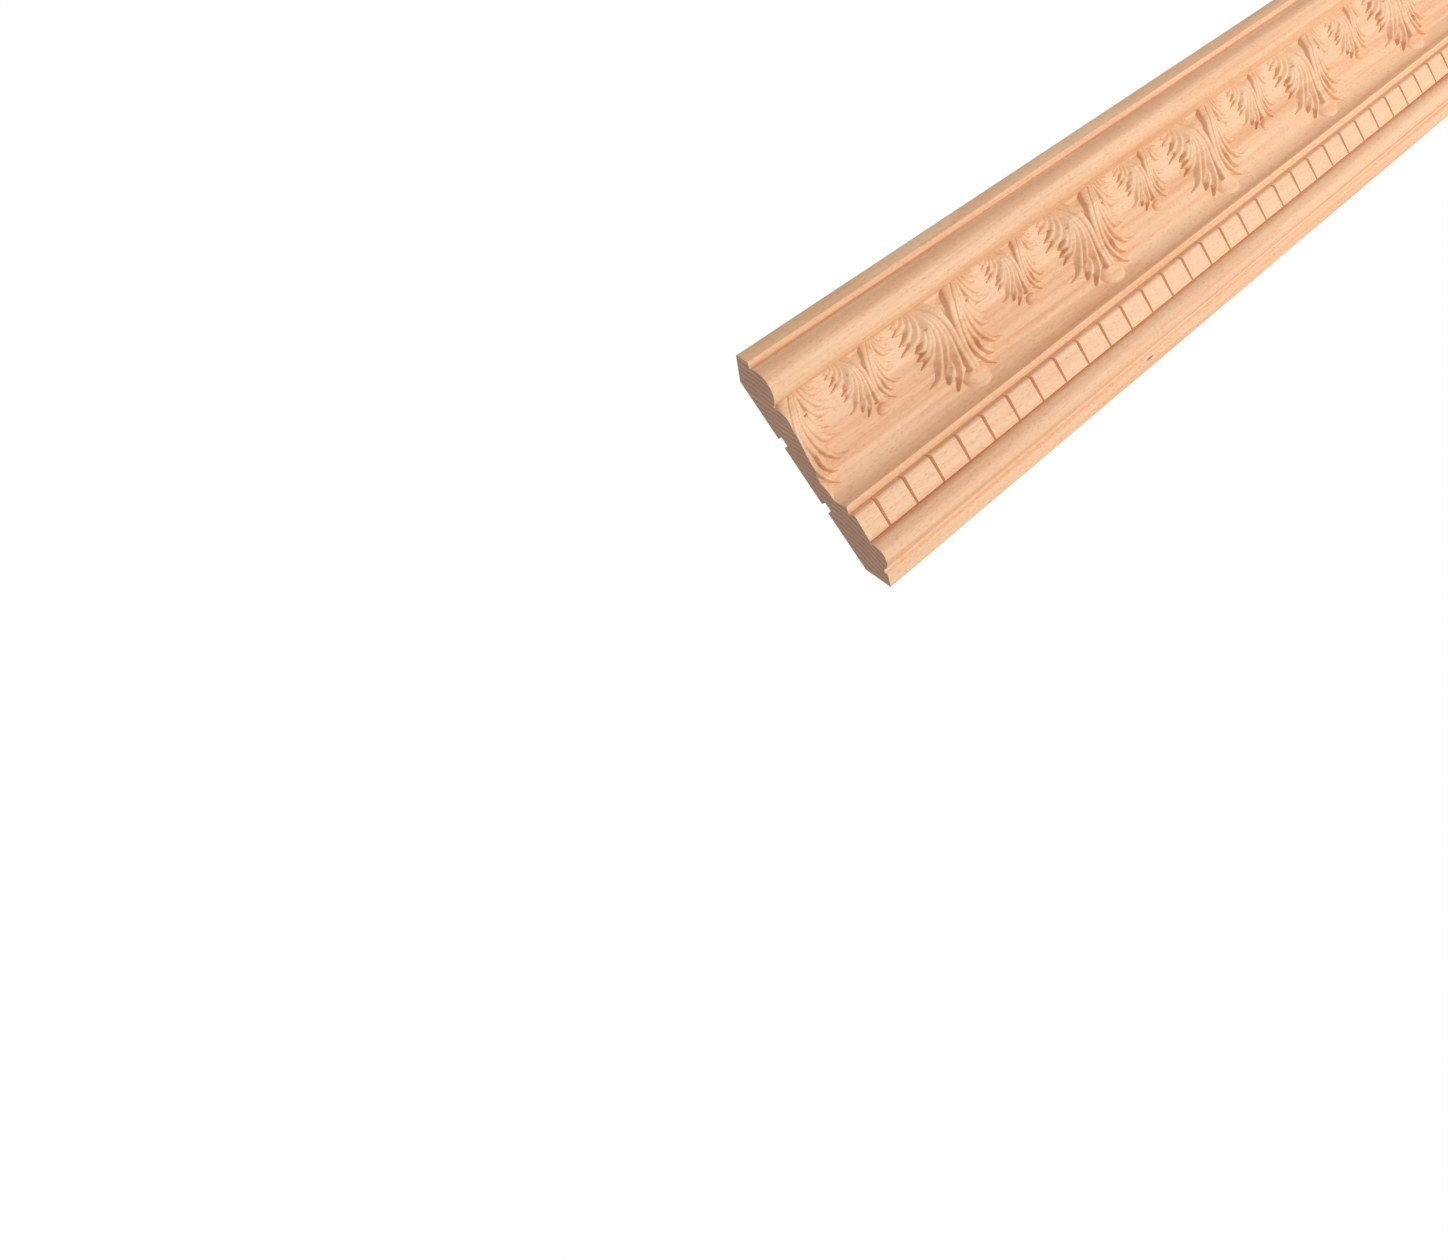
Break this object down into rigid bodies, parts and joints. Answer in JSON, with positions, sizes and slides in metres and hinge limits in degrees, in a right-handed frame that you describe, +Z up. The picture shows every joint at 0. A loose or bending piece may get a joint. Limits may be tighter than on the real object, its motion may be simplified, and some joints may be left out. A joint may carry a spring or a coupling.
{
  "type": "crown moulding",
  "caption": "Straight length of carved wooden crown moulding: beads, a cove frieze of acanthus leaves and a dentil band, sloped to sit between wall and ceiling.",
  "frame": {"origin": "mid-length, in the middle of the bearing face that lies on the wall", "axes": "+X along the moulding, +Y into the wall, +Z up to the ceiling"},
  "size_m": [1, 0.0806, 0.0806],
  "materials": {
    "beech": "sanded, unfinished"
  },
  "bodies": {
    "root": {"crown_moulding": "beech"}
  },
  "joints": []
}
